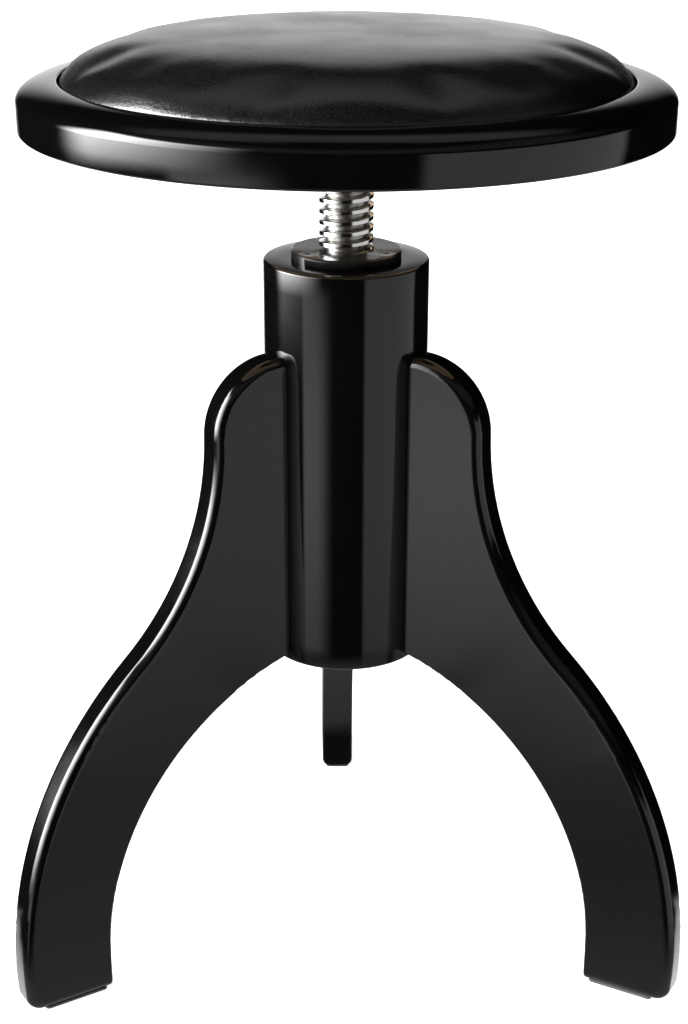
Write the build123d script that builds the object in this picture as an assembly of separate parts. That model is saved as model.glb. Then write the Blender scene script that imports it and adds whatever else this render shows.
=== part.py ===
from build123d import *
from math import atan2, ceil, cos, degrees, pi, radians, sin, sqrt, tan
import os

# A revolving piano stool. The seat turns on a trapezoidal screw that runs in a nut
# in the top of a turned column, so each turn of the seat lifts it by one pitch.
# Millimetres, +Z up, origin on the floor on the column's axis.
# One leg points straight back along +Y; the other two stand 120 degrees each side of it.

# ---- frame and column -------------------------------------------------------------
column_radius = 46.0
column_bottom = 185.0       # height of the column's lower end above the floor
column_length = 232.0
column_edge_radius = 1.5
guide_bore_radius = 19.0    # bore that the guide bush slides in

# ---- legs: flat shaped boards, coped to the column and doweled ----------------------
leg_thickness = 21.0
leg_angles = {"front_left": 210.0, "front_right": 330.0, "rear": 90.0}
knee_reach = 88.0           # distance from the axis to the outer edge under the knee
knee_height = 326.0         # where the outer edge stands upright under the knee
foot_reach = 219.0          # distance from the axis to the outermost point of the foot
foot_bulge_height = 27.0    # height of that outermost point
calf_curve = 240.0          # radius of the convex outer curve above the foot
foot_inner_reach = 166.0    # distance from the axis to the foot's inner face
foot_inner_height = 25.0    # the inner face is upright below this height
leg_root_height = 188.0     # height where the inner curve meets the column
toe_radius = 9.0
outer_edge_round = 5.5
inner_edge_round = 1.6
leg_inset = 12.0            # how far the uncut board reaches inside the column's surface

dowel_radius = 5.0
dowel_length = 50.0
dowel_in_column = 19.0      # length of each dowel that sits in the column
dowel_heights = (212.0, 276.0, 340.0)
end_gap = 1.0               # room past the end of a dowel or a screw

felt_thickness = 1.5        # felt pad under each foot
felt_margin = 2.5           # how far the felt stays inside the foot's outline

# ---- screw thread, Tr30 x 6 ----------------------------------------------------------
thread_pitch = 6.0
thread_crest_radius = 15.0
thread_depth = 3.5
thread_crest_share = 0.366  # width of the crest as a share of the pitch
thread_flank_angle = 15.0
thread_crest_gap = 0.5      # radial room over the crest and under the root, in the nut
thread_stretch_turns = 4    # turns made at a time
thread_flank_gap = 0.2      # room beside each flank, measured along the axis

# ---- nut -----------------------------------------------------------------------------
nut_flange_radius = 30.5
nut_flange_thickness = 5.0
nut_flange_chamfer = 0.8
nut_barrel_radius = 22.0
nut_barrel_length = 45.0
nut_screw_circle = 25.0     # radius of the circle of screws in the flange
nut_screw_count = 3

# ---- seat ----------------------------------------------------------------------------
seat_radius = 175.0
seat_underside = 490.0      # height of the rim's lower edge, at rest
rim_wall_height = 16.0      # upright outer wall of the rim
rim_crown_rise = 10.0       # the crowned top rises this much more, inwards
rim_crown_width = 22.0
rim_ledge_width = 10.0      # ledge that carries the seat floor
rim_ledge_thickness = 5.0
rim_lower_edge_radius = 1.5
rim_lip_radius = 0.8
floor_thickness = 12.0      # plywood floor of the seat
pad_board_thickness = 6.0
pad_gap = 0.7               # room between the cover and the rim
pad_crown = 22.0            # height of the pad's crown above the rim
quarter_pull = 0.5523       # Bezier handle that makes a quarter of an ellipse
cover_thickness = 1.5
cover_turn_under = 15.0     # width of cover folded under the pad board

staple_wire = 0.8
staple_crown = 11.0
staple_leg = 5.0
staple_count = 30

# ---- seat fixing ---------------------------------------------------------------------
plate_radius = 62.0         # steel plate welded to the top of the screw
plate_corner_chamfer = 1.0
spigot_radius = 11.0
plate_screw_circle = 46.0
plate_screw_count = 6
pad_screw_circle = 110.0
pad_screw_count = 3

# ---- lower end of the screw ------------------------------------------------------------
travel = 66.0               # lift above and below the rest height: eleven turns each way
journal_radius = 8.0
bush_length = 16.0
bush_play = 0.3             # end play of the bush on its journal
bush_chamfer = 1.0
stop_gap = 0.5              # what is left between bush and nut at the top of the travel
washer_radius = 14.0
washer_thickness = 2.5
stop_screw_radius = 4.0
stop_screw_length = 20.0
stop_screw_head_radius = 6.5
stop_screw_head_height = 5.0
stop_screw_chamfer = 0.6
hex_socket_radius = 3.0
hex_socket_depth = 3.0
running_gap = 0.08          # radial clearance of the bush in the column
journal_gap = 0.05          # radial clearance of the journal in the bush
seat_gap = 0.05             # clearance of glued and dropped-in parts

# ---- wood screws -------------------------------------------------------------------------
screw_head_radius = 4.2
screw_head_height = 2.6
screw_shank_radius = 2.0
screw_tip_radius = 0.3
screw_tip_ratio = 1.5       # length of the point over the shank's radius
nut_screw_length = 30.0
plate_screw_length = 15.0
pad_screw_length = 19.0
recess_width = 1.0
recess_depth = 1.6
recess_span = 4.4

cut_over = 1.0              # how far a cutting body runs past the face it opens
near = 0.01                 # tolerance for picking edges and corners
standing = (Align.CENTER, Align.CENTER, Align.MIN)

# ---- places worked out from the values above --------------------------------------------
column_top = column_bottom + column_length
nut_bottom = column_top - nut_barrel_length
nut_top = column_top + nut_flange_thickness
knee_radius = knee_reach - column_radius
rim_inner_radius = seat_radius - rim_crown_width
rim_springing = seat_underside + rim_wall_height
rim_top = rim_springing + rim_crown_rise
floor_bottom = seat_underside + rim_ledge_thickness
floor_top = floor_bottom + floor_thickness
pad_bottom = floor_top + staple_wire
board_bottom = pad_bottom + cover_thickness
board_top = board_bottom + pad_board_thickness
pad_radius = rim_inner_radius - pad_gap
bush_top = nut_bottom - travel - stop_gap
journal_bottom = bush_top - bush_length - bush_play
washer_bottom = journal_bottom - washer_thickness
bush_radius = guide_bore_radius - running_gap


def ring_places(radius, count, first_angle=90.0):
    """Points spaced evenly on a circle about the axis."""
    angles = [radians(first_angle + 360.0 * i / count) for i in range(count)]
    return [(radius * cos(a), radius * sin(a)) for a in angles]


def upright_cylinder(radius, low, high, x=0.0, y=0.0):
    return Pos(x, y, low) * Cylinder(radius, high - low, align=standing)


def ring(outer, inner, low, high):
    return upright_cylinder(outer, low, high) - upright_cylinder(inner, low - cut_over, high + cut_over)


def turned(profile):
    """Revolve a face drawn in the XZ plane about the Z axis."""
    return revolve(profile, Axis.Z, 360.0)


def group(solids):
    return Compound(children=list(solids))


# ---- thread ---------------------------------------------------------------------------


def thread_section(root_radius, crest_radius, crest_width, root_width):
    """Outline across the axis of a single-start thread, to be extruded with a twist."""
    flank_width = (thread_pitch - crest_width - root_width) / 2.0
    root_end = root_width / thread_pitch * 2.0 * pi
    crest_start = (root_width + flank_width) / thread_pitch * 2.0 * pi
    crest_end = crest_start + crest_width / thread_pitch * 2.0 * pi

    def spot(radius, angle):
        return (radius * cos(angle), radius * sin(angle))

    def arc(radius, start, end):
        ThreePointArc(spot(radius, start), spot(radius, (start + end) / 2.0), spot(radius, end))

    def flank(r0, a0, r1, a1, steps=4):
        shares = [i / steps for i in range(steps + 1)]
        Spline([spot(r0 + (r1 - r0) * t, a0 + (a1 - a0) * t) for t in shares])

    with BuildSketch() as sketch:
        with BuildLine():
            arc(root_radius, 0.0, root_end)
            flank(root_radius, root_end, crest_radius, crest_start)
            arc(crest_radius, crest_start, crest_end)
            flank(crest_radius, crest_end, root_radius, 2.0 * pi)
        make_face()
    return sketch.sketch.faces()[0]


def thread_rod(low, high, crest_gap=0.0, flank_gap=0.0):
    """A threaded rod from low to high; the gaps enlarge it into the shape of the nut's hole.

    The turn of the section depends on the height alone, so rod and hole are in mesh.
    It is made in short stretches, because one long twisted face meshes badly.
    """
    flank_width = thread_depth * tan(radians(thread_flank_angle))
    crest_width = thread_pitch * thread_crest_share
    root_width = thread_pitch - crest_width - 2.0 * flank_width
    widening = crest_gap * tan(radians(thread_flank_angle))
    section = thread_section(
        thread_crest_radius - thread_depth + crest_gap,
        thread_crest_radius + crest_gap,
        crest_width + 2.0 * flank_gap - 2.0 * widening,
        root_width - 2.0 * flank_gap + 2.0 * widening,
    )
    # The gaps leave the middle of the crest where it was.
    shift = (flank_gap - widening) / thread_pitch * 360.0

    def stretch(start, length):
        turned_section = Rot(0, 0, 360.0 * start / thread_pitch + shift) * section
        return Pos(0, 0, start) * Solid.extrude_linear_with_rotation(
            turned_section, center=(0, 0, 0), normal=(0, 0, length), angle=360.0 * length / thread_pitch
        )

    step = thread_stretch_turns * thread_pitch
    starts = [low + step * i for i in range(ceil((high - low) / step))]
    stretches = [stretch(start, min(step, high - start)) for start in starts]
    return stretches[0].fuse(*stretches[1:])


# ---- screws ---------------------------------------------------------------------------


def countersunk_screw(length):
    """A screw standing on its head: the head's face is at z = 0 and the shank points up."""
    head = Cone(screw_head_radius, screw_shank_radius, screw_head_height, align=standing)
    tip_height = screw_shank_radius * screw_tip_ratio
    shank = upright_cylinder(screw_shank_radius, screw_head_height, length - tip_height)
    tip = Cone(screw_shank_radius, screw_tip_radius, tip_height, align=standing)
    slot = Box(recess_span, recess_width, recess_depth, align=standing)
    return head + shank + Pos(0, 0, length - tip_height) * tip - slot - Rot(0, 0, 90) * slot


def screw_hole(length, margin=0.0):
    """The hole that the same screw fills, from its head's face upwards."""
    head = Cone(screw_head_radius, screw_shank_radius, screw_head_height, align=standing)
    return head + upright_cylinder(screw_shank_radius, 0.0, length + margin)


# ---- base -----------------------------------------------------------------------------


def nut_screw_frames():
    """Places of the nut's screws, each turned so that it points down into the column."""
    return [Pos(x, y, nut_top) * Rot(180, 0, 0) for x, y in ring_places(nut_screw_circle, nut_screw_count)]


def dowel_frames(angle):
    """Places of one leg's dowels: each starts inside the column and points outwards."""
    start = column_radius - dowel_in_column
    return [Rot(0, 0, angle) * Pos(start, 0, z) * Rot(0, 90, 0) for z in dowel_heights]


def dowel(extra=0.0):
    """A dowel, or its hole when extra is given, along +Z from its column end."""
    return upright_cylinder(dowel_radius, -extra, dowel_length + extra)


def make_column():
    body = upright_cylinder(column_radius, column_bottom, column_top)
    body = fillet(body.edges().filter_by(GeomType.CIRCLE), column_edge_radius)
    body -= upright_cylinder(guide_bore_radius, column_bottom - cut_over, column_top + cut_over)
    body -= upright_cylinder(nut_barrel_radius + seat_gap, nut_bottom, column_top + cut_over)
    for angle in leg_angles.values():
        for frame in dowel_frames(angle):
            body -= frame * dowel(end_gap)
    for frame in nut_screw_frames():
        body -= frame * upright_cylinder(screw_shank_radius, 0.0, nut_screw_length + end_gap)
    return body


def leg_curves():
    """Centres and radii of the arcs of the leg's outline, in (distance from axis, height)."""
    calf_x = foot_reach - calf_curve
    across = knee_reach - calf_x
    up = knee_height - foot_bulge_height
    throat_curve = (across**2 + up**2 - calf_curve**2) / (2.0 * (calf_curve - across))
    turn = atan2(up, across + throat_curve)
    span = foot_inner_reach - column_radius
    rise = leg_root_height - foot_inner_height
    arch_curve = (span**2 + rise**2) / (2.0 * span)
    return calf_x, throat_curve, turn, arch_curve


def arc_spot(x, z, radius, angle):
    return (x + radius * cos(angle), z + radius * sin(angle))


def leg_outline():
    """The flat board's outline: knee, throat, calf and toe outside, and the arch inside."""
    calf_x, throat_curve, turn, arch_curve = leg_curves()
    inner_end = column_radius - leg_inset
    drop = foot_bulge_height - felt_thickness
    toe_angle = -atan2(drop, sqrt(calf_curve**2 - drop**2))
    throat_x = knee_reach + throat_curve
    arch_x = foot_inner_reach - arch_curve
    arch_end = atan2(leg_root_height - foot_inner_height, column_radius - arch_x)
    knee_top = (column_radius, knee_height + knee_radius)
    knee_side = (knee_reach, knee_height)
    throat_end = arc_spot(throat_x, knee_height, throat_curve, pi + turn)
    toe = arc_spot(calf_x, foot_bulge_height, calf_curve, toe_angle)
    with BuildSketch(Plane.XZ) as sketch:
        with BuildLine():
            Line((inner_end, knee_top[1]), knee_top)
            ThreePointArc(knee_top, arc_spot(column_radius, knee_height, knee_radius, pi / 4.0), knee_side)
            throat_middle = arc_spot(throat_x, knee_height, throat_curve, pi + turn / 2.0)
            ThreePointArc(knee_side, throat_middle, throat_end)
            calf_middle = arc_spot(calf_x, foot_bulge_height, calf_curve, (turn + toe_angle) / 2.0)
            ThreePointArc(throat_end, calf_middle, toe)
            Line(toe, (foot_inner_reach, felt_thickness))
            Line((foot_inner_reach, felt_thickness), (foot_inner_reach, foot_inner_height))
            arch_middle = arc_spot(arch_x, foot_inner_height, arch_curve, arch_end / 2.0)
            root = (column_radius, leg_root_height)
            ThreePointArc((foot_inner_reach, foot_inner_height), arch_middle, root)
            Line(root, (inner_end, leg_root_height))
            Line((inner_end, leg_root_height), (inner_end, knee_top[1]))
        make_face()
        low_corners = [v for v in sketch.vertices() if v.Z < felt_thickness + near]
        toe_corner = [v for v in low_corners if v.X > foot_inner_reach + cut_over]
        fillet(toe_corner, toe_radius)
    return sketch.sketch


def is_side_edge(edge):
    """True for an edge of one of the board's flat sides, but not the one inside the column."""
    middle = edge.position_at(0.5)
    on_a_side = abs(abs(middle.Y) - leg_thickness / 2.0) < near
    return on_a_side and middle.X > column_radius - leg_inset + near


def is_outer_edge(edge):
    """True for the long side edges that run over the knee and down to the toe."""
    middle = edge.position_at(0.5)
    beyond_arch = middle.X > foot_inner_reach + near and middle.Z > felt_thickness + near
    above_arch = middle.Z > leg_root_height + near
    return is_side_edge(edge) and (beyond_arch or above_arch)


def make_leg(angle):
    board = extrude(leg_outline(), leg_thickness / 2.0, both=True)
    board = fillet([e for e in board.edges() if is_outer_edge(e)], outer_edge_round)
    inner_edges = [e for e in board.edges() if is_side_edge(e) and not is_outer_edge(e)]
    board = fillet(inner_edges, inner_edge_round)
    board -= upright_cylinder(column_radius, 0.0, column_top)
    board = Rot(0, 0, angle) * board
    for frame in dowel_frames(angle):
        board -= frame * dowel(end_gap)
    return board


def make_felt(angle):
    """A felt pad under one foot, a little smaller than the foot."""
    low = foot_inner_reach + felt_margin
    high = foot_reach - toe_radius - felt_margin
    pad = Pos((low + high) / 2.0, 0, felt_thickness / 2.0) * Box(
        high - low, leg_thickness - 2.0 * felt_margin, felt_thickness
    )
    pad = fillet(pad.edges().filter_by(Axis.Z), felt_margin)
    return Rot(0, 0, angle) * pad


def make_dowels():
    return group(frame * dowel() for angle in leg_angles.values() for frame in dowel_frames(angle))


def make_nut():
    flange = upright_cylinder(nut_flange_radius, column_top, nut_top)
    rim_edges = flange.edges().filter_by(GeomType.CIRCLE).sort_by(Axis.Z)[-1:]
    flange = chamfer(rim_edges, nut_flange_chamfer)
    nut = flange + upright_cylinder(nut_barrel_radius, nut_bottom, column_top)
    for frame in nut_screw_frames():
        nut -= frame * screw_hole(nut_flange_thickness, cut_over)
    # The cutting rod ends in the nut's own end planes, so its helical faces stay whole.
    return nut - thread_rod(nut_bottom, nut_top, thread_crest_gap, thread_flank_gap)


def make_nut_screws():
    return group(frame * countersunk_screw(nut_screw_length) for frame in nut_screw_frames())


# ---- guide ----------------------------------------------------------------------------


def make_bush():
    low = journal_bottom + bush_play / 2.0
    body = upright_cylinder(bush_radius, low, low + bush_length)
    body = chamfer(body.edges().filter_by(GeomType.CIRCLE), bush_chamfer)
    bore_radius = journal_radius + journal_gap
    return body - upright_cylinder(bore_radius, low - cut_over, low + bush_length + cut_over)


# ---- screw and its fixings -------------------------------------------------------------


def make_spindle():
    rod = thread_rod(bush_top, seat_underside)
    rod += upright_cylinder(spigot_radius, seat_underside, floor_bottom)
    rod += upright_cylinder(journal_radius, journal_bottom, bush_top)
    return rod - upright_cylinder(stop_screw_radius, journal_bottom, journal_bottom + stop_screw_length)


def make_stop_washer():
    return ring(washer_radius, stop_screw_radius + seat_gap, washer_bottom, journal_bottom)


def make_stop_screw():
    head = upright_cylinder(stop_screw_head_radius, washer_bottom - stop_screw_head_height, washer_bottom)
    head = chamfer(head.edges().filter_by(GeomType.CIRCLE).sort_by(Axis.Z)[:1], stop_screw_chamfer)
    socket = extrude(RegularPolygon(hex_socket_radius, 6), hex_socket_depth)
    head -= Pos(0, 0, washer_bottom - stop_screw_head_height) * socket
    shank_top = journal_bottom + stop_screw_length - end_gap
    return head + upright_cylinder(stop_screw_radius, washer_bottom, shank_top)


def plate_screw_frames():
    return [Pos(x, y, seat_underside) for x, y in ring_places(plate_screw_circle, plate_screw_count)]


def pad_screw_frames():
    return [Pos(x, y, floor_bottom) for x, y in ring_places(pad_screw_circle, pad_screw_count)]


def make_plate():
    plate = upright_cylinder(plate_radius, seat_underside, floor_bottom)
    low_edge = plate.edges().filter_by(GeomType.CIRCLE).sort_by(Axis.Z)[:1]
    plate = chamfer(low_edge, plate_corner_chamfer)
    plate -= upright_cylinder(spigot_radius, seat_underside - cut_over, floor_bottom + cut_over)
    for frame in plate_screw_frames():
        plate -= frame * screw_hole(rim_ledge_thickness, cut_over)
    return plate


def make_plate_screws():
    return group(frame * countersunk_screw(plate_screw_length) for frame in plate_screw_frames())


def make_pad_screws():
    return group(frame * countersunk_screw(pad_screw_length) for frame in pad_screw_frames())


# ---- seat -----------------------------------------------------------------------------


def make_rim():
    """A turned ring: upright wall, crowned top, and a ledge inside that carries the floor."""
    ledge_inner = rim_inner_radius - rim_ledge_width
    with BuildSketch(Plane.XZ) as sketch:
        with BuildLine():
            Line((ledge_inner, seat_underside), (seat_radius, seat_underside))
            Line((seat_radius, seat_underside), (seat_radius, rim_springing))
            crown_centre = (rim_inner_radius, rim_springing)
            EllipticalCenterArc(crown_centre, rim_crown_width, rim_crown_rise, arc_size=90.0)
            Line((rim_inner_radius, rim_top), (rim_inner_radius, floor_bottom))
            Line((rim_inner_radius, floor_bottom), (ledge_inner, floor_bottom))
            Line((ledge_inner, floor_bottom), (ledge_inner, seat_underside))
        make_face()
        low_corners = [v for v in sketch.vertices() if v.Z < seat_underside + near]
        fillet([v for v in low_corners if v.X > seat_radius - near], rim_lower_edge_radius)
        fillet([v for v in sketch.vertices() if v.Z > rim_top - near], rim_lip_radius)
    return turned(sketch.sketch)


def make_floor():
    floor = upright_cylinder(rim_inner_radius - seat_gap, floor_bottom, floor_top)
    for frame in plate_screw_frames():
        floor -= frame * upright_cylinder(screw_shank_radius, 0.0, plate_screw_length + end_gap)
    for frame in pad_screw_frames():
        floor -= frame * screw_hole(floor_thickness, cut_over)
    return floor


def make_pad_board():
    board = upright_cylinder(pad_radius - cover_thickness, board_bottom, board_top)
    for frame in pad_screw_frames():
        board -= frame * upright_cylinder(screw_shank_radius, 0.0, pad_screw_length + end_gap)
    return board


def dome_half(radius, crown, low):
    """Half section of a pad: an upright side up to the rim's top, and an elliptical dome."""
    side_pull = (radius, rim_top + crown * quarter_pull)
    crown_pull = (radius * quarter_pull, rim_top + crown)
    with BuildSketch(Plane.XZ) as sketch:
        with BuildLine():
            Line((0.0, low), (radius, low))
            Line((radius, low), (radius, rim_top))
            Bezier((radius, rim_top), side_pull, crown_pull, (0.0, rim_top + crown))
            Line((0.0, rim_top + crown), (0.0, low))
        make_face()
    return sketch.sketch


def make_foam():
    return turned(dome_half(pad_radius - cover_thickness, pad_crown - cover_thickness, board_top))


def make_cover():
    outside = turned(dome_half(pad_radius, pad_crown, pad_bottom))
    inside = turned(dome_half(pad_radius - cover_thickness, pad_crown - cover_thickness, board_bottom))
    opening = upright_cylinder(pad_radius - cover_turn_under, pad_bottom - cut_over, board_bottom + cut_over)
    return outside - inside - opening


def make_staples():
    """Staples that hold the turned-under edge of the cover to the pad board."""
    crown = Box(staple_wire, staple_crown, staple_wire, align=standing)
    prong = Box(staple_wire, staple_wire, staple_leg, align=standing)
    reach = (staple_crown - staple_wire) / 2.0
    staple = crown + Pos(0, reach, 0) * prong + Pos(0, -reach, 0) * prong
    radius = pad_radius - cover_turn_under / 2.0
    places = ring_places(radius, staple_count)
    return group(Pos(x, y, floor_top) * Rot(0, 0, degrees(atan2(y, x))) * staple for x, y in places)


def make_parts():
    parts = {"column": make_column()}
    for side, angle in leg_angles.items():
        parts[f"leg_{side}"] = make_leg(angle)
        parts[f"felt_pad_{side}"] = make_felt(angle)
    parts["leg_dowels"] = make_dowels()
    parts["spindle_nut"] = make_nut()
    parts["nut_screws"] = make_nut_screws()
    parts["guide_bush"] = make_bush()
    parts["spindle"] = make_spindle()
    parts["stop_washer"] = make_stop_washer()
    parts["stop_screw"] = make_stop_screw()
    parts["mounting_plate"] = make_plate()
    parts["plate_screws"] = make_plate_screws()
    parts["seat_rim"] = make_rim()
    parts["seat_floor"] = make_floor()
    parts["pad_board"] = make_pad_board()
    parts["pad_foam"] = make_foam()
    parts["pad_cover"] = make_cover()
    parts["pad_screws"] = make_pad_screws()
    parts["cover_staples"] = make_staples()
    return parts


os.makedirs("parts", exist_ok=True)
for name, shape in make_parts().items():
    export_step(shape, f"parts/{name}.step")
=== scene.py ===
# %% [markdown]
# # A revolving piano stool
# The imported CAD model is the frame. It gives every place and size in metres, with the
# screw's axis on Z and the front of the stool towards -Y. This script adds the looks:
# lacquer, leatherette, steel and a soft pad, each riding on the CAD body it belongs to.

# %% Load the frame
import math

import bmesh
import bpy
from mathutils import Matrix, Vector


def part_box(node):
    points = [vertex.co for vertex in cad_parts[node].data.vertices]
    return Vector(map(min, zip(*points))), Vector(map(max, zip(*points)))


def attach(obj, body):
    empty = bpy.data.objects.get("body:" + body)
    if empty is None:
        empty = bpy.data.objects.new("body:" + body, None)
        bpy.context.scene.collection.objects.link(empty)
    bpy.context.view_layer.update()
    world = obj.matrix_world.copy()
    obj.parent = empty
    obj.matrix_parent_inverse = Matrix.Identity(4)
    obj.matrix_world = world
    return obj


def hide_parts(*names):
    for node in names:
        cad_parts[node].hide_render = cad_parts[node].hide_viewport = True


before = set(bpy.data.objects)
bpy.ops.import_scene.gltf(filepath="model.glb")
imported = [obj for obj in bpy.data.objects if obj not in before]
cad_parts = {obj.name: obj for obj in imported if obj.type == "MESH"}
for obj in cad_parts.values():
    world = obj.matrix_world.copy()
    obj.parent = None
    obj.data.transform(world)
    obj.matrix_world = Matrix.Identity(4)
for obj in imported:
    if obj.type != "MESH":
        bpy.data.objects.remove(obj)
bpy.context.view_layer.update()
MM = 0.001

# %% [markdown]
# ## Sizes read from the frame
# A node's box gives most of what the pieces need. The few sizes that a box can't show,
# such as the width of the rim's crown, are named here with the same values as the CAD.

# %% Sizes
rim_low, rim_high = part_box("seat_rim")
column_low, column_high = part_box("column")
pad_low, pad_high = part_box("pad_cover")
seat_radius = rim_high.x
rim_crown_width = 22 * MM
rim_crown_rise = 10 * MM
rim_ledge_width = 10 * MM
rim_ledge_thickness = 5 * MM
rim_inner_radius = seat_radius - rim_crown_width
column_radius = column_high.x
column_bore_radius = 19 * MM
nut_pocket_radius = 22.05 * MM
nut_pocket_depth = 45 * MM
print("seat radius", round(seat_radius, 4), "column radius", round(column_radius, 4))

# %% [markdown]
# ## Small helpers for materials
# Every finish is a node tree on the Principled shader. Patterns read Object coordinates,
# so they stay on the piece when it moves. Values that are the same all over a surface are
# typed into the shader's own sockets.

# %% Material helpers
def new_finish(name, **values):
    """A material with its Principled shader's sockets set from keyword values."""
    finish = bpy.data.materials.new(name)
    finish.use_nodes = True
    shader = finish.node_tree.nodes["Principled BSDF"]
    for key, value in values.items():
        shader.inputs[key.replace("_", " ")].default_value = value
    return finish, finish.node_tree, shader


def object_position(tree, scale=(1.0, 1.0, 1.0)):
    """Object coordinates, stretched by scale."""
    place = tree.nodes.new("ShaderNodeTexCoord")
    mapping = tree.nodes.new("ShaderNodeMapping")
    mapping.inputs["Scale"].default_value = scale
    tree.links.new(place.outputs["Object"], mapping.inputs["Vector"])
    return mapping.outputs["Vector"]


def noise(tree, vector, scale, detail=3.0, roughness=0.5, distortion=0.0):
    node = tree.nodes.new("ShaderNodeTexNoise")
    node.inputs["Scale"].default_value = scale
    node.inputs["Detail"].default_value = detail
    node.inputs["Roughness"].default_value = roughness
    node.inputs["Distortion"].default_value = distortion
    tree.links.new(vector, node.inputs["Vector"])
    return node.outputs["Fac"]


def spread(tree, value, low, high, to_low=0.0, to_high=1.0, smooth=False):
    """Map a value from one range to another."""
    node = tree.nodes.new("ShaderNodeMapRange")
    node.interpolation_type = "SMOOTHSTEP" if smooth else "LINEAR"
    settings = {"From Min": low, "From Max": high, "To Min": to_low, "To Max": to_high}
    for key, number in settings.items():
        node.inputs[key].default_value = number
    tree.links.new(value, node.inputs["Value"])
    return node.outputs["Result"]


def maths(tree, operation, first, second=None):
    node = tree.nodes.new("ShaderNodeMath")
    node.operation = operation
    for socket, value in zip(node.inputs, (first, second)):
        if value is None:
            continue
        if isinstance(value, (int, float)):
            socket.default_value = value
        else:
            tree.links.new(value, socket)
    return node.outputs["Value"]


def mixed(tree, first, first_share, second, second_share):
    """The sum of two values, each times its own share."""
    first_part = maths(tree, "MULTIPLY", first, first_share)
    second_part = maths(tree, "MULTIPLY", second, second_share)
    return maths(tree, "ADD", first_part, second_part)


def blend_colours(tree, factor, first, second):
    node = tree.nodes.new("ShaderNodeMix")
    node.data_type = "RGBA"
    node.inputs["A"].default_value = (*first, 1.0)
    node.inputs["B"].default_value = (*second, 1.0)
    tree.links.new(factor, node.inputs["Factor"])
    return node.outputs["Result"]


def set_base(tree, shader, factor, first, second):
    """Blend two colours by a factor and use the result as the base colour."""
    blend = blend_colours(tree, factor, first, second)
    tree.links.new(blend, shader.inputs["Base Color"])


def set_roughness(tree, shader, value, low, high, to_low, to_high):
    """Use a value, mapped from one range to another, as the roughness."""
    mapped = spread(tree, value, low, high, to_low, to_high)
    tree.links.new(mapped, shader.inputs["Roughness"])


def add_bump(tree, shader, height, depth, strength=1.0):
    """Bump the surface by a height from 0 to 1, which stands for depth metres."""
    bump = tree.nodes.new("ShaderNodeBump")
    bump.inputs["Strength"].default_value = strength
    bump.inputs["Distance"].default_value = depth
    tree.links.new(height, bump.inputs["Height"])
    tree.links.new(bump.outputs["Normal"], shader.inputs["Normal"])


# %% [markdown]
# ## Black lacquer
# The wood is sprayed black and polished, so nearly all that is seen is reflection. A low
# roughness gives that. Real lacquer is never quite flat: a very shallow ripple a few
# millimetres wide, the grain sinking in along the board, and slight handling marks in the
# gloss keep the reflections from looking like black glass.

# %% Lacquer
def make_lacquer(name, grain_scale):
    """Polished black lacquer; the grain runs along the axis with the smallest scale."""
    finish, tree, shader = new_finish(name, Metallic=0.0, IOR=1.5)
    place = object_position(tree)
    along = object_position(tree, grain_scale)
    cloudy = noise(tree, place, 14.0, 2.0)
    set_base(tree, shader, cloudy, (0.0008, 0.0008, 0.0008), (0.0022, 0.0021, 0.0020))
    marks = noise(tree, place, 55.0, 4.0, 0.65)
    set_roughness(tree, shader, marks, 0.35, 0.75, 0.055, 0.11)
    ripple = noise(tree, place, 130.0, 1.0)
    grain = noise(tree, along, 260.0, 3.0, 0.6, 0.4)
    add_bump(tree, shader, mixed(tree, ripple, 0.6, grain, 0.4), 0.000022)
    return finish


lacquer_upright = make_lacquer("black_lacquer_upright_grain", (1.0, 1.0, 0.06))
lacquer_ring = make_lacquer("black_lacquer_ring", (1.0, 0.06, 1.0))

# %% [markdown]
# ## Leatherette
# The cover is vinyl with a fine pebbled grain and a soft gloss. Voronoi cells about a
# millimetre across make the pebbles, a finer noise breaks them up, and a slow noise
# varies the gloss where hands and clothes have polished it. The pebbles also paint shade
# into the colour: the base is darker in the valleys between them and lighter on their tops.

# %% Leatherette
leatherette, tree, shader = new_finish("black_leatherette", IOR=1.5, Specular_IOR_Level=0.8)
place = object_position(tree)
cells = tree.nodes.new("ShaderNodeTexVoronoi")
cells.feature = "SMOOTH_F1"
cells.inputs["Scale"].default_value = 850.0
cells.inputs["Smoothness"].default_value = 0.6
tree.links.new(place, cells.inputs["Vector"])
pebble_height_and_valley_shade = spread(tree, cells.outputs["Distance"], 0.1, 0.75, 1.0, 0.0)
creases = noise(tree, place, 380.0, 5.0, 0.7)
worn = noise(tree, place, 17.0, 3.0)
# painted shade: the base colour is darker in the valleys between the pebbles and lighter on their
# tops
set_base(tree, shader, pebble_height_and_valley_shade, (0.0020, 0.0020, 0.0020), (0.0075, 0.0075, 0.0076))
set_roughness(tree, shader, worn, 0.3, 0.7, 0.2, 0.29)
add_bump(tree, shader, mixed(tree, pebble_height_and_valley_shade, 0.55, creases, 0.45), 0.00009)

# %% [markdown]
# ## Metals
# The spindle is turned bright: fine rings round its axis, with grease and dirt in the
# root of the thread. The distance from the axis tells root from crest. The nut and the
# plate are painted, and the small screws are blackened or zinc plated. The nylon of the
# bush uses the same recipe with no metal in it.

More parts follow.
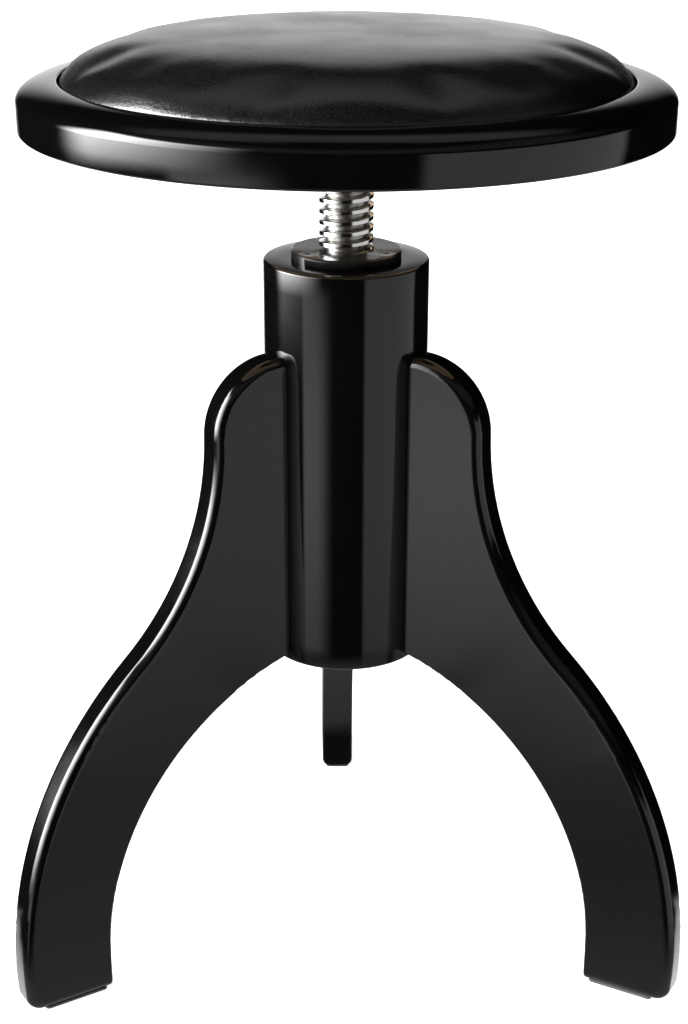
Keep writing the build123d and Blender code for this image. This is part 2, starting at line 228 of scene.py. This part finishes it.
# %% Spindle steel
spindle_steel, tree, shader = new_finish("turned_bright_steel", Metallic=1.0)
place = object_position(tree)
parts_of = tree.nodes.new("ShaderNodeSeparateXYZ")
tree.links.new(place, parts_of.inputs["Vector"])
across = tree.nodes.new("ShaderNodeCombineXYZ")
tree.links.new(parts_of.outputs["X"], across.inputs["X"])
tree.links.new(parts_of.outputs["Y"], across.inputs["Y"])
radius = tree.nodes.new("ShaderNodeVectorMath")
radius.operation = "LENGTH"
tree.links.new(across.outputs["Vector"], radius.inputs["Vector"])
dirty_radius, clean_radius = 11.6 * MM, 13.6 * MM
grime = spread(tree, radius.outputs["Value"], dirty_radius, clean_radius, 1.0, 0.0, smooth=True)
smears = spread(tree, noise(tree, place, 210.0, 4.0), 0.3, 0.65, 0.45, 1.0)
patchy = maths(tree, "MULTIPLY", grime, smears)
set_base(tree, shader, patchy, (0.74, 0.74, 0.73), (0.17, 0.16, 0.145))
set_roughness(tree, shader, patchy, 0.0, 1.0, 0.14, 0.42)
rings = noise(tree, object_position(tree, (0.03, 0.03, 1.0)), 9000.0, 2.0)
add_bump(tree, shader, rings, 0.00001, 0.6)


# %% Painted and plated metal
def make_metal(name, dark, light, roughness, metallic, bump_scale, bump_depth):
    """A small metal part's finish: patchy colour and gloss over a fine texture."""
    finish, tree, shader = new_finish(name, Metallic=metallic)
    place = object_position(tree)
    patches = noise(tree, place, 90.0, 4.0, 0.6)
    set_base(tree, shader, patches, dark, light)
    set_roughness(tree, shader, patches, 0.3, 0.7, roughness * 0.8, roughness * 1.25)
    add_bump(tree, shader, noise(tree, place, bump_scale, 3.0), bump_depth)
    return finish


def grey(level):
    return (level, level, level)


nut_paint = make_metal("black_nut_paint", grey(0.006), grey(0.014), 0.22, 0.0, 700.0, 0.00005)
plate_paint = make_metal("black_powder_coat", grey(0.008), grey(0.02), 0.42, 0.0, 1400.0, 0.00006)
blackened_steel = make_metal(
    "blackened_screw_steel", (0.05, 0.05, 0.052), (0.11, 0.11, 0.115), 0.32, 1.0, 2500.0, 0.00002
)
zinc_steel = make_metal(
    "zinc_plated_steel", (0.48, 0.47, 0.44), (0.68, 0.67, 0.64), 0.3, 1.0, 2500.0, 0.00002
)
staple_steel = make_metal(
    "galvanised_staple_wire", (0.5, 0.5, 0.49), (0.66, 0.66, 0.65), 0.3, 1.0, 3000.0, 0.00002
)
nylon = make_metal(
    "natural_nylon", (0.72, 0.70, 0.63), (0.80, 0.78, 0.72), 0.4, 0.0, 1800.0, 0.00003
)

# %% [markdown]
# ## Bare wood and felt
# Plywood shows its face veneer from below, with grain along one direction, and thin
# layers at its edge. Beech has short dark flecks. Felt is a soft mat of fibres.


# %% Bare wood
def make_wood(name, pale, dark, grain_scale, fleck_scale, ply=0.0):
    """Bare wood: long grain, short flecks and, with ply set, that many layers a metre."""
    finish, tree, shader = new_finish(name, Roughness=0.62)
    along = object_position(tree, grain_scale)
    grain = noise(tree, along, 120.0, 5.0, 0.6, 1.2)
    flecks = noise(tree, object_position(tree, fleck_scale), 900.0, 2.0)
    tone = mixed(tree, grain, 0.75, flecks, 0.25)
    if ply:
        layers = tree.nodes.new("ShaderNodeTexWave")
        layers.bands_direction = "Z"
        layers.inputs["Scale"].default_value = ply
        tree.links.new(object_position(tree), layers.inputs["Vector"])
        tone = mixed(tree, tone, 0.8, layers.outputs["Fac"], 0.2)
    set_base(tree, shader, spread(tree, tone, 0.3, 0.7), pale, dark)
    add_bump(tree, shader, grain, 0.00015)
    return finish


plywood = make_wood(
    "birch_plywood", (0.66, 0.50, 0.33), (0.47, 0.31, 0.17),
    (1.0, 0.05, 1.0), (1.0, 0.1, 1.0), ply=150.0,
)
beech = make_wood(
    "bare_beech", (0.62, 0.43, 0.27), (0.45, 0.27, 0.15), (1.0, 1.0, 0.1), (1.0, 1.0, 0.15)
)

# %% Felt
felt, tree, shader = new_finish(
    "dark_wool_felt", Roughness=0.95, Sheen_Weight=0.4, Sheen_Roughness=0.5
)
fibres = noise(tree, object_position(tree), 1500.0, 5.0, 0.75, 1.5)
set_base(tree, shader, fibres, (0.02, 0.02, 0.02), (0.09, 0.088, 0.085))
add_bump(tree, shader, fibres, 0.0004)
print("finishes", len(bpy.data.materials))


# %% [markdown]
# ## Turned pieces
# The seat's rim and the column come off a lathe, so each is one closed outline of
# (radius, height) points swept round the axis. That gives even, closely spaced faces,
# which a polished surface needs: long thin CAD triangles would show in the reflections.

# %% Lathe
def finished_piece(name, mesh, finish, body, replaced=()):
    """Link a mesh as a piece at the origin, attach it to its body, and hide the CAD nodes it
    replaces.
    """
    piece = bpy.data.objects.new(name, mesh)
    bpy.context.scene.collection.objects.link(piece)
    mesh.materials.clear()
    mesh.materials.append(finish)
    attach(piece, body)
    if replaced:
        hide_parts(*replaced)
    return piece


def rounded(centre, radii, start, end, steps):
    """Points along an elliptical arc in (radius, height), angles in degrees."""
    turns = [math.radians(start + (end - start) * i / steps) for i in range(steps + 1)]
    return [
        (centre[0] + radii[0] * math.cos(a), centre[1] + radii[1] * math.sin(a)) for a in turns
    ]


def lathe(name, outline, segments, sharp_above=40.0):
    """Sweep a closed outline of (radius, height) points round Z; points on Z become poles."""
    shape = bmesh.new()
    rings = []
    for i in range(segments):
        angle = 2.0 * math.pi * i / segments
        turn = (math.cos(angle), math.sin(angle))
        rings.append([shape.verts.new((r * turn[0], r * turn[1], z)) for r, z in outline])
    count = len(outline)
    for i in range(segments):
        here, there = rings[i], rings[(i + 1) % segments]
        for j in range(count):
            k = (j + 1) % count
            shape.faces.new((here[j], there[j], there[k], here[k]))
    bmesh.ops.remove_doubles(shape, verts=shape.verts, dist=1e-6)
    bmesh.ops.recalc_face_normals(shape, faces=shape.faces)
    mesh = bpy.data.meshes.new(name)
    shape.to_mesh(mesh)
    shape.free()
    mesh.shade_smooth()
    mesh.set_sharp_from_angle(angle=math.radians(sharp_above))
    return mesh


def divided(points, longest):
    """The same closed outline with its long runs divided, for even shading."""
    result = []
    for (r0, z0), (r1, z1) in zip(points, points[1:] + points[:1]):
        steps = max(1, math.ceil(math.hypot(r1 - r0, z1 - z0) / longest))
        shares = [i / steps for i in range(steps)]
        result += [(r0 + (r1 - r0) * t, z0 + (z1 - z0) * t) for t in shares]
    return result


# %% Seat rim
rim_edge_radius = 1.5 * MM
rim_lip_radius = 0.8 * MM
springing = rim_high.z - rim_crown_rise
ledge_inner = rim_inner_radius - rim_ledge_width
ledge_top = rim_low.z + rim_ledge_thickness
edge_centre = (seat_radius - rim_edge_radius, rim_low.z + rim_edge_radius)
lip_centre = (rim_inner_radius + rim_lip_radius, rim_high.z - rim_lip_radius)
rim_outline = (
    [(ledge_inner, rim_low.z)]
    + rounded(edge_centre, (rim_edge_radius, rim_edge_radius), -90, 0, 5)
    + rounded((rim_inner_radius, springing), (rim_crown_width, rim_crown_rise), 0, 86, 26)
    + rounded(lip_centre, (rim_lip_radius, rim_lip_radius), 90, 180, 4)
    + [(rim_inner_radius, ledge_top), (ledge_inner, ledge_top)]
)
rim_mesh = lathe("lacquered_rim", divided(rim_outline, 8 * MM), 288)
finished_piece("lacquered_rim", rim_mesh, lacquer_ring, "seat", ["seat_rim"])

# %% Column
edge = 1.5 * MM
top, bottom = column_high.z, column_low.z
column_outline = (
    rounded((column_radius - edge, bottom + edge), (edge, edge), -90, 0, 5)
    + rounded((column_radius - edge, top - edge), (edge, edge), 0, 90, 5)
    + [(nut_pocket_radius, top), (nut_pocket_radius, top - nut_pocket_depth)]
    + [(column_bore_radius, top - nut_pocket_depth), (column_bore_radius, bottom)]
)
column_mesh = lathe("turned_column", divided(column_outline, 12 * MM), 144)
finished_piece("turned_column", column_mesh, lacquer_upright, "base", ["column"])
print("rim faces", len(rim_mesh.polygons), "column faces", len(column_mesh.polygons))

# %% [markdown]
# ## Legs
# Each leg is a flat board with a shaped outline and rounded edges. The CAD board already
# has the right shape, so a copy of its mesh is merged and shaded smooth, with normals
# weighted by face size: the broad flat sides then reflect as one flat sheet.

# %% Legs
def polished_copy(node, name, finish, body, sharp_above=32.0, keep_share=1.0):
    """A merged and smooth-shaded copy of a CAD node that stands for it."""
    shape = bmesh.new()
    shape.from_mesh(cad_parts[node].data)
    bmesh.ops.remove_doubles(shape, verts=shape.verts, dist=1e-6)
    bmesh.ops.dissolve_degenerate(shape, edges=shape.edges, dist=1e-7)
    mesh = bpy.data.meshes.new(name)
    shape.to_mesh(mesh)
    shape.free()
    mesh.shade_smooth()
    mesh.set_sharp_from_angle(angle=math.radians(sharp_above))
    piece = finished_piece(name, mesh, finish, body, [node])
    if keep_share < 1.0:
        lighter = piece.modifiers.new("lighter", "DECIMATE")
        lighter.ratio = keep_share
    weighted = piece.modifiers.new("weighted", "WEIGHTED_NORMAL")
    weighted.keep_sharp = True
    return piece


for side in ("front_left", "front_right", "rear"):
    piece_name = f"lacquered_leg_{side}"
    leg = polished_copy(f"leg_{side}", piece_name, lacquer_upright, "base")
    print(leg.name, "faces", len(leg.data.polygons))

# %% [markdown]
# ## Thread and nut
# The CAD thread is meshed very finely. A thinned copy keeps every flank and crest, and is
# light enough to export whole.

# %% Thread and nut
thread_sharp_above = 28.0
spindle_share, nut_share = 0.3, 0.4
polished_copy(
    "spindle", "threaded_spindle", spindle_steel, "seat",
    thread_sharp_above, spindle_share,
)
polished_copy(
    "spindle_nut", "flanged_nut", nut_paint, "base",
    thread_sharp_above, nut_share,
)

# %% [markdown]
# ## The pad
# Foam under a tight cover swells a little between the places where it is held. A plain
# dome is lathed slightly too small, remeshed evenly, and blown up by Cloth pressure with
# its underside held still. How far it may move is capped, so it fills its recess and no
# more. Then the cover's turned-under edge gets slight puckers between the staples.

# %% Pad
voxel = 4.5 * MM
wall_shrink = 0.2 * MM
crown_shrink = 2.5 * MM
shoulder_fullness = 2.9      # 2 would be an ellipse; more is squarer
most_swell = 3.5 * MM
smoothing_rounds = 12
pucker_depth = 0.3 * MM
pad_radius = pad_high.x
pad_springing = rim_high.z
pad_crown = pad_high.z - pad_springing
staple_count = 30


def make_pad():
    """The pad before it is stuffed: a plain dome on an upright wall."""
    wall = pad_radius - wall_shrink
    corner = 2 * MM
    outline = [(0.0, pad_low.z), (wall - corner, pad_low.z)]
    outline += [(wall, pad_low.z + corner), (wall, pad_springing)]
    crown, power = pad_crown - crown_shrink, 2.0 / shoulder_fullness
    turns = [math.radians(90.0 * i / 40) for i in range(1, 40)]
    outline += [
        (wall * math.cos(a) ** power, pad_springing + crown * math.sin(a) ** power) for a in turns
    ]
    outline += [(0.0, pad_springing + crown)]
    mesh = lathe("leatherette_pad", divided(outline, 6 * MM), 128)
    piece = bpy.data.objects.new("leatherette_pad", mesh)
    bpy.context.scene.collection.objects.link(piece)
    remesh = piece.modifiers.new("even_faces", "REMESH")
    remesh.mode = "VOXEL"
    remesh.voxel_size = voxel
    remesh.use_smooth_shade = True
    graph = bpy.context.evaluated_depsgraph_get()
    even = bpy.data.meshes.new_from_object(piece.evaluated_get(graph))
    piece.modifiers.clear()
    piece.data = even
    return piece


def held_weights(piece):
    """Hold the underside and the wall inside the rim, and free the dome."""
    group = piece.vertex_groups.new(name="held")
    for vertex in piece.data.vertices:
        low = vertex.co.z < pad_springing - 1 * MM
        group.add([vertex.index], 1.0 if low else 0.0, "REPLACE")
    return group


def swell(piece):
    """Blow the pad up with Cloth pressure and return how far each point moved."""
    before = [v.co.copy() for v in piece.data.vertices]
    cloth = piece.modifiers.new("stuffing", "CLOTH")
    settings = cloth.settings
    settings.use_pressure = True
    settings.uniform_pressure_force = 4.0
    settings.mass = 0.3
    settings.tension_stiffness = 15.0
    settings.compression_stiffness = 15.0
    settings.shear_stiffness = 8.0
    settings.bending_stiffness = 8.0
    settings.effector_weights.gravity = 0.0
    settings.vertex_group_mass = held_weights(piece).name
    cloth.collision_settings.use_collision = False
    scene = bpy.context.scene
    for step in range(1, 21):
        scene.frame_set(step)
    graph = bpy.context.evaluated_depsgraph_get()
    after = [v.co.copy() for v in piece.evaluated_get(graph).data.vertices]
    piece.modifiers.clear()
    scene.frame_set(1)
    return before, after


def settle(piece, before, after):
    """Cap the swelling, smooth out its ripples, and keep the pad clear of the rim."""
    for vertex, old, new in zip(piece.data.vertices, before, after):
        step = new - old
        if step.length > most_swell:
            step = step.normalized() * most_swell
        vertex.co = old + step
    shape = bmesh.new()
    shape.from_mesh(piece.data)
    free = [v for v in shape.verts if v.co.z > pad_springing + 1 * MM]
    for _ in range(smoothing_rounds):
        bmesh.ops.smooth_vert(
            shape, verts=free, factor=0.5, use_axis_x=True, use_axis_y=True, use_axis_z=True
        )
    for vertex in shape.verts:
        place = vertex.co
        radius = math.hypot(place.x, place.y)
        off_edge = abs(place.z - pad_springing - 3 * MM)
        edge_share = max(0.0, 1.0 - off_edge / (9 * MM)) * (radius / pad_radius) ** 10
        wave = 0.5 + 0.5 * math.cos(staple_count * math.atan2(place.y, place.x))
        allowed = pad_radius - 0.1 * MM - pucker_depth * edge_share * wave
        in_recess = pad_low.z + 1 * MM < place.z < pad_springing + 1 * MM
        if radius > allowed or (in_recess and radius > pad_radius - 4 * MM):
            place.x *= allowed / radius
            place.y *= allowed / radius
        place.z = max(place.z, pad_low.z)
    shape.to_mesh(piece.data)
    shape.free()
    return max(v.co.z for v in piece.data.vertices)


pad = make_pad()
old_places, new_places = swell(pad)
print("pad top", round(settle(pad, old_places, new_places), 4), "CAD", round(pad_high.z, 4))
subdivision = pad.modifiers.new("smooth", "SUBSURF")
subdivision.levels = subdivision.render_levels = 1
pad.data.materials.clear()
pad.data.materials.append(leatherette)
pad.data.shade_smooth()
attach(pad, "seat")
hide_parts("pad_cover", "pad_foam")
print("pad faces", len(pad.data.polygons))


# %% [markdown]
# ## Screws and staples
# Repeated hardware is placed by Geometry Nodes: a circle of points, one instance on each
# point, turned to suit, then realized. One tree serves every circle, with named inputs
# for its radius, height, number and the thing to repeat.

# %% Circle tree
def circle_tree():
    tree = bpy.data.node_groups.new("circle_of_parts", "GeometryNodeTree")
    sides = tree.interface
    sides.new_socket("Geometry", in_out="OUTPUT", socket_type="NodeSocketGeometry")
    sides.new_socket("Part", in_out="INPUT", socket_type="NodeSocketObject")
    sides.new_socket("Count", in_out="INPUT", socket_type="NodeSocketInt")
    for title in ("Radius", "Height", "First Angle"):
        sides.new_socket(title, in_out="INPUT", socket_type="NodeSocketFloat")
    sides.new_socket("Material", in_out="INPUT", socket_type="NodeSocketMaterial")
    nodes, links = tree.nodes, tree.links
    given = nodes.new("NodeGroupInput")
    result = nodes.new("NodeGroupOutput")
    points = nodes.new("GeometryNodeMeshCircle")
    links.new(given.outputs["Count"], points.inputs["Vertices"])
    links.new(given.outputs["Radius"], points.inputs["Radius"])
    index = nodes.new("GeometryNodeInputIndex")
    share = nodes.new("ShaderNodeMath")
    share.operation = "DIVIDE"
    links.new(index.outputs["Index"], share.inputs[0])
    links.new(given.outputs["Count"], share.inputs[1])
    around = nodes.new("ShaderNodeMath")
    around.operation = "MULTIPLY"
    around.inputs[1].default_value = 2.0 * math.pi
    links.new(share.outputs["Value"], around.inputs[0])
    turn = nodes.new("ShaderNodeCombineXYZ")
    links.new(around.outputs["Value"], turn.inputs["Z"])
    copies = nodes.new("GeometryNodeInstanceOnPoints")
    part = nodes.new("GeometryNodeObjectInfo")
    links.new(given.outputs["Part"], part.inputs["Object"])
    links.new(points.outputs["Mesh"], copies.inputs["Points"])
    links.new(part.outputs["Geometry"], copies.inputs["Instance"])
    links.new(turn.outputs["Vector"], copies.inputs["Rotation"])
    lift = nodes.new("ShaderNodeCombineXYZ")
    links.new(given.outputs["Height"], lift.inputs["Z"])
    first = nodes.new("ShaderNodeCombineXYZ")
    links.new(given.outputs["First Angle"], first.inputs["Z"])
    realized = nodes.new("GeometryNodeRealizeInstances")
    links.new(copies.outputs["Instances"], realized.inputs["Geometry"])
    placed = nodes.new("GeometryNodeTransform")
    links.new(realized.outputs["Geometry"], placed.inputs["Geometry"])
    links.new(lift.outputs["Vector"], placed.inputs["Translation"])
    links.new(first.outputs["Vector"], placed.inputs["Rotation"])
    painted = nodes.new("GeometryNodeSetMaterial")
    links.new(placed.outputs["Geometry"], painted.inputs["Geometry"])
    links.new(given.outputs["Material"], painted.inputs["Material"])
    links.new(painted.outputs["Geometry"], result.inputs["Geometry"])
    return tree


circle_of_parts = circle_tree()


def ring_of(name, part, count, radius, height, finish, body, node, first_angle=90.0):
    """Repeat a part on a circle, and turn the result into one plain piece."""
    carrier = bpy.data.objects.new(name + "_carrier", bpy.data.meshes.new(name))
    bpy.context.scene.collection.objects.link(carrier)
    maker = carrier.modifiers.new("circle", "NODES")
    maker.node_group = circle_of_parts
    values = {
        "Part": part, "Count": count, "Radius": radius, "Height": height,
        "First Angle": math.radians(first_angle), "Material": finish,
    }
    for item in circle_of_parts.interface.items_tree:
        if item.item_type == "SOCKET" and item.name in values:
            maker[item.identifier] = values[item.name]
    graph = bpy.context.evaluated_depsgraph_get()
    mesh = bpy.data.meshes.new_from_object(carrier.evaluated_get(graph))
    mesh.name = name
    bpy.data.objects.remove(carrier)
    return finished_piece(name, mesh, finish, body, [node])


def pattern_part(name, shape):
    """A mesh to repeat; it isn't part of the object itself."""
    mesh = bpy.data.meshes.new(name)
    bmesh.ops.recalc_face_normals(shape, faces=shape.faces)
    shape.to_mesh(mesh)
    shape.free()
    mesh.shade_smooth()
    mesh.set_sharp_from_angle(angle=math.radians(35.0))
    return bpy.data.objects.new(name, mesh)


# %% [markdown]
# A wood screw here is a countersunk head with a cross recess, on a shank with a point.
# The recess is four walls pushed down from the head's face, so each head has a real hole
# that catches the light. All heads use one outline of a cross.

# %% Countersunk screw
def cross_outline(arm, half_width):
    """The twelve corners of a plus sign, three for each quarter turn."""
    corners = [(arm, half_width), (half_width, half_width), (half_width, arm)]
    outline = []
    for _ in range(4):
        outline += corners
        corners = [(-y, x) for x, y in corners]
    return outline


def countersunk_screw(length, name):
    """A screw with its head's face at z = 0 and its point up."""
    head_radius, shank_radius, point_radius = 4.2 * MM, 2.0 * MM, 0.3 * MM
    head_height, tip_height, chamfer = 2.6 * MM, 3.0 * MM, 0.15 * MM
    sides, recess_depth, recess_taper = 24, 1.6 * MM, 0.8
    shape = bmesh.new()
    rings = [(head_radius - chamfer, 0.0), (head_radius, chamfer), (shank_radius, head_height)]
    rings += [(shank_radius, length - tip_height), (point_radius, length)]
    loops = []
    for radius, z in rings:
        spots = [2.0 * math.pi * (i + 0.5) / sides for i in range(sides)]
        ring = [(radius * math.cos(a), radius * math.sin(a), z) for a in spots]
        loops.append([shape.verts.new(spot) for spot in ring])
    for low, high in zip(loops, loops[1:]):
        for i in range(sides):
            shape.faces.new((low[i], low[(i + 1) % sides], high[(i + 1) % sides], high[i]))
    shape.faces.new(loops[-1])
    corners = cross_outline(2.2 * MM, 0.5 * MM)
    mouth = [shape.verts.new((x, y, 0.0)) for x, y in corners]
    pit = [
        shape.verts.new((x * recess_taper, y * recess_taper, recess_depth)) for x, y in corners
    ]
    for i in range(12):
        shape.faces.new((mouth[i], mouth[(i + 1) % 12], pit[(i + 1) % 12], pit[i]))
    shape.faces.new(pit)
    face_edges = [
        shape.edges.get((loop[i], loop[(i + 1) % len(loop)]))
        for loop in (loops[0], mouth) for i in range(len(loop))
    ]
    bmesh.ops.triangle_fill(shape, edges=face_edges, use_beauty=True)
    return pattern_part(name, shape)


def turned_over(part):
    """The same screw pointing down."""
    part.data.transform(Matrix.Rotation(math.pi, 4, "X"))
    return part


nut_screw = turned_over(countersunk_screw(30 * MM, "nut_screw_shape"))
plate_screw = countersunk_screw(15 * MM, "plate_screw_shape")
pad_screw = countersunk_screw(19 * MM, "pad_screw_shape")
nut_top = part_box("spindle_nut")[1].z
plate_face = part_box("mounting_plate")[0].z
floor_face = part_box("seat_floor")[0].z
screw_circles = [
    ("nut_flange_screws", nut_screw, 3, 25 * MM, nut_top, "base", "nut_screws"),
    ("seat_plate_screws", plate_screw, 6, 46 * MM, plate_face, "seat", "plate_screws"),
    ("pad_fixing_screws", pad_screw, 3, 110 * MM, floor_face, "seat", "pad_screws"),
]
for name, part, count, circle, face, body, node in screw_circles:
    ring_of(name, part, count, circle, face, blackened_steel, body, node)


# %% Staples
def staple_shape():
    """A staple standing on its crown, with its crown along the circle."""
    wire, crown, prong = 0.8 * MM, 11 * MM, 5 * MM
    shape = bmesh.new()
    half, w = crown / 2, wire / 2
    outline = [(-half, 0), (half, 0), (half, prong), (half - wire, prong), (half - wire, wire)]
    outline += [(wire - half, wire), (wire - half, prong), (-half, prong)]
    front = [shape.verts.new((-w, y, z)) for y, z in outline]
    back = [shape.verts.new((w, y, z)) for y, z in outline]
    for i in range(8):
        shape.faces.new((front[i], front[(i + 1) % 8], back[(i + 1) % 8], back[i]))
    shape.faces.new(front)
    shape.faces.new(back)
    return pattern_part("staple_shape", shape)


staple_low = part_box("cover_staples")[0]
staple_inset = 7.5 * MM
ring_of(
    "cover_edge_staples", staple_shape(), staple_count, pad_radius - staple_inset, staple_low.z,
    staple_steel, "seat", "cover_staples",
)

# %% [markdown]
# ## CAD nodes that keep their shape
# The felt, dowels, bush, washer, stop screw, plate and boards are already exactly right,
# so their objects stay and only get a finish.

# %% Finishes for the CAD nodes
kept_nodes = {
    "felt_pad_front_left": felt,
    "felt_pad_front_right": felt,
    "felt_pad_rear": felt,
    "leg_dowels": beech,
    "guide_bush": nylon,
    "stop_washer": zinc_steel,
    "stop_screw": zinc_steel,
    "mounting_plate": plate_paint,
    "seat_floor": plywood,
    "pad_board": plywood,
}
for node, finish in kept_nodes.items():
    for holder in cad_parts[node].material_slots:
        holder.material = finish

# %% [markdown]
# ## Studio
# The stool stands on a pale floor that fills the view. The sky is the studio: polished
# black shows only what surrounds it, so the sky holds soft-edged light boxes and cards at
# chosen directions, on a dark room. Directions are an azimuth, 0 at the front and positive
# to the right, and a height above the horizon, both in degrees.

# %% Sky
world = bpy.data.worlds.new("studio")
bpy.context.scene.world = world
world.use_nodes = True
sky = world.node_tree
background = sky.nodes["Background"]
direction = sky.nodes.new("ShaderNodeTexCoord")
axes = sky.nodes.new("ShaderNodeSeparateXYZ")
sky.links.new(direction.outputs["Generated"], axes.inputs["Vector"])
towards_front = maths(sky, "MULTIPLY", axes.outputs["Y"], -1.0)
azimuth = maths(sky, "DEGREES", maths(sky, "ARCTAN2", axes.outputs["X"], towards_front))
elevation = maths(sky, "DEGREES", maths(sky, "ARCSINE", axes.outputs["Z"]))
from_front = maths(sky, "ABSOLUTE", azimuth)


def band(value, ends, soft):
    """1 between two ends and 0 outside them, fading over a soft width at each."""
    (start, stop), (start_soft, stop_soft) = ends, soft
    rise = spread(sky, value, start - start_soft, start + start_soft, smooth=True)
    fall = spread(sky, value, stop - stop_soft, stop + stop_soft, 1.0, 0.0, smooth=True)
    return maths(sky, "MULTIPLY", rise, fall)


def light_card(angle, angles, heights, strength, soft, soft_height):
    """A rectangle of light in the sky; each edge fades over the soft width given for it."""
    across = band(angle, angles, soft)
    upright = band(elevation, heights, soft_height)
    return maths(sky, "MULTIPLY", maths(sky, "MULTIPLY", across, upright), strength)


cards = [
    light_card(azimuth, (-106.0, -66.0), (-8.0, 38.0), 26.0, (10.0, 34.0), (10.0, 5.0)),
    light_card(azimuth, (-64.0, -32.0), (-26.0, -14.0), 1.5, (3.0, 14.0), (8.0, 8.0)),
    light_card(azimuth, (24.0, 106.0), (-29.0, 4.0), 0.72, (3.0, 3.0), (9.0, 3.0)),
    light_card(from_front, (166.0, 200.0), (-16.0, 13.0), 1.35, (9.0, 5.0), (4.0, 9.0)),
    light_card(from_front, (-10.0, 200.0), (-95.0, -34.0), 0.55, (1.0, 1.0), (1.0, 6.0)),
    light_card(from_front, (122.0, 152.0), (-42.0, -27.0), 1.2, (5.0, 4.0), (6.0, 3.0)),
    light_card(from_front, (172.0, 200.0), (-34.0, -20.0), 0.7, (6.0, 4.0), (4.0, 4.0)),
    light_card(from_front, (-10.0, 100.0), (22.0, 58.0), 0.14, (1.0, 20.0), (8.0, 10.0)),
    light_card(from_front, (115.0, 200.0), (50.0, 75.0), 0.3, (10.0, 4.0), (8.0, 6.0)),
]
room_glow = 0.004
total = room_glow
for card in cards:
    total = maths(sky, "ADD", card, total)
sky.links.new(total, background.inputs["Strength"])
background.inputs["Color"].default_value = (1.0, 1.0, 1.0, 1.0)
world.cycles.sampling_method = "MANUAL"
world.cycles.sample_map_resolution = 1024

# %% [markdown]
# The floor is matt and nearly white, and glows a little, as a lit table does, which keeps
# shadows light. It is left out of mirror-like reflections, so the lacquer shows the cards
# above and below the horizon, and it is clear from below, so the stool's underside shows.

# %% Floor
floor_mesh = bpy.data.meshes.new("studio_floor")
reach = 12.0
corners = [(-reach, -reach, 0), (reach, -reach, 0), (reach, reach, 0), (-reach, reach, 0)]
floor_mesh.from_pydata(corners, [], [(0, 1, 2, 3)])
studio_floor = bpy.data.objects.new("studio_floor", floor_mesh)
bpy.context.scene.collection.objects.link(studio_floor)
floor_paint, tree, shader = new_finish("pale_floor", Roughness=0.9, Specular_IOR_Level=0.0)
shader.inputs["Base Color"].default_value = (0.82, 0.82, 0.82, 1.0)
shader.inputs["Emission Color"].default_value = (1.0, 1.0, 1.0, 1.0)
shader.inputs["Emission Strength"].default_value = 0.95
side = tree.nodes.new("ShaderNodeNewGeometry")
clear = tree.nodes.new("ShaderNodeBsdfTransparent")
either = tree.nodes.new("ShaderNodeMixShader")
tree.links.new(side.outputs["Backfacing"], either.inputs["Fac"])
tree.links.new(shader.outputs["BSDF"], either.inputs[1])
tree.links.new(clear.outputs["BSDF"], either.inputs[2])
tree.links.new(either.outputs["Shader"], tree.nodes["Material Output"].inputs["Surface"])
floor_mesh.materials.append(floor_paint)
studio_floor.visible_glossy = False

# %% [markdown]
# ## Camera
# A long lens a metre away, a little above the seat, looking down at the column's middle.

# %% Camera
camera_data = bpy.data.cameras.new("camera")
camera = bpy.data.objects.new("camera", camera_data)
bpy.context.scene.collection.objects.link(camera)
bpy.context.scene.camera = camera
camera_data.lens = 65.43
camera_data.sensor_width = 36.0
camera_data.shift_y = 0.0195
camera.location = (-0.0317, -1.0075, 0.6688)
pitch, yaw, roll = math.radians(22.44), math.radians(-1.756), math.radians(0.166)
facing = Matrix.Rotation(yaw, 4, "Z")
tilted = Matrix.Rotation(math.pi / 2 - pitch, 4, "X")
rolled = Matrix.Rotation(roll, 4, "Z")
camera.rotation_euler = (facing @ tilted @ rolled).to_euler()
bpy.context.scene.view_settings.view_transform = "Standard"
